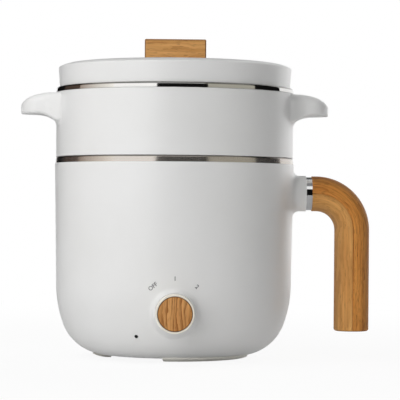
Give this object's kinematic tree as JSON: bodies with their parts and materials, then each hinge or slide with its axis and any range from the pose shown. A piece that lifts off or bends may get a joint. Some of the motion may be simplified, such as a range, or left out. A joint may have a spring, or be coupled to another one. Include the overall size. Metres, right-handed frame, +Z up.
{
  "type": "multicooker",
  "caption": "Round countertop multicooker with a lift-off steamer tier and lid, steel bands, a wood-look side grip and lid bar, and a front dial, for boiling and steaming food.",
  "frame": {"origin": "on the table plane under the vertical axis of the round body, at the underside of the feet", "axes": "+Z up along the body's axis, -Y towards the user (dial side), +X towards the side handle"},
  "size_m": [0.274, 0.2045, 0.2492],
  "materials": {
    "white_plastic": "satin",
    "pot_steel": "brushed",
    "liner_steel": "polished",
    "chrome": "polished",
    "dark_wood": "satin",
    "warm_wood": "satin",
    "seal_silicone": "matte",
    "foot_rubber": "matte",
    "black_plastic": "satin",
    "dark_lens": "gloss",
    "lamp_glass": "clear",
    "cast_aluminium": "cast",
    "sheet_steel": "plain",
    "brass": "plain",
    "thermostat_case": "matte",
    "fuse_sleeve": "woven",
    "wire_brown": "satin",
    "wire_blue": "satin",
    "wire_white": "satin",
    "wire_green": "satin",
    "wire_black": "satin"
  },
  "bodies": {
    "base": {"body_shell": "white_plastic", "inner_pot": "pot_steel", "pot_seal": "seal_silicone", "heating_plate": "cast_aluminium", "heating_element": "sheet_steel", "heater_terminals": "sheet_steel", "thermostat": "thermostat_case", "thermostat_clip": "sheet_steel", "thermostat_screws": "sheet_steel", "thermal_fuse": "fuse_sleeve", "support_posts": "sheet_steel", "heat_shield": "cast_aluminium", "base_cover": "white_plastic", "base_screws": "sheet_steel", "foot_left": "foot_rubber", "foot_front_right": "foot_rubber", "foot_back_right": "foot_rubber", "rotary_switch": "black_plastic", "switch_terminals": "brass", "switch_nut": "brass", "indicator_lens": "dark_lens", "indicator_lamp": "lamp_glass", "power_inlet": "black_plastic", "inlet_pins": "brass", "inlet_screws": "sheet_steel", "wire_live": "wire_brown", "wire_neutral": "wire_blue", "wire_heater": "wire_white", "wire_earth": "wire_green", "wire_lamp": "wire_black", "handle_ring": "chrome", "handle_insert": "brass", "handle_bolt": "sheet_steel", "handle_outer_half": "dark_wood", "handle_inner_half": "warm_wood"},
    "knob": {"knob_cap": "white_plastic", "knob_disc": "dark_wood", "switch_shaft": "brass"},
    "steamer": {"steamer_shell": "white_plastic", "steamer_liner": "liner_steel", "steam_plate": "liner_steel"},
    "lid": {"lid_shell": "white_plastic", "lid_inner_panel": "white_plastic", "lid_seal": "seal_silicone", "lid_handle": "dark_wood", "lid_handle_screws": "sheet_steel"}
  },
  "joints": [
    {"name": "dial_turn", "type": "hinge", "parent": "base", "child": "knob", "pos_m": [0, -0.1, 0.039], "axis": [0, 1, 0], "range_deg": [0, 80]},
    {"name": "steamer_lift", "type": "slide", "parent": "base", "child": "steamer", "axis": [0, 0, 1], "range_m": [0, 0.12]},
    {"name": "lid_lift", "type": "slide", "parent": "steamer", "child": "lid", "axis": [0, 0, 1], "range_m": [0, 0.12]}
  ]
}
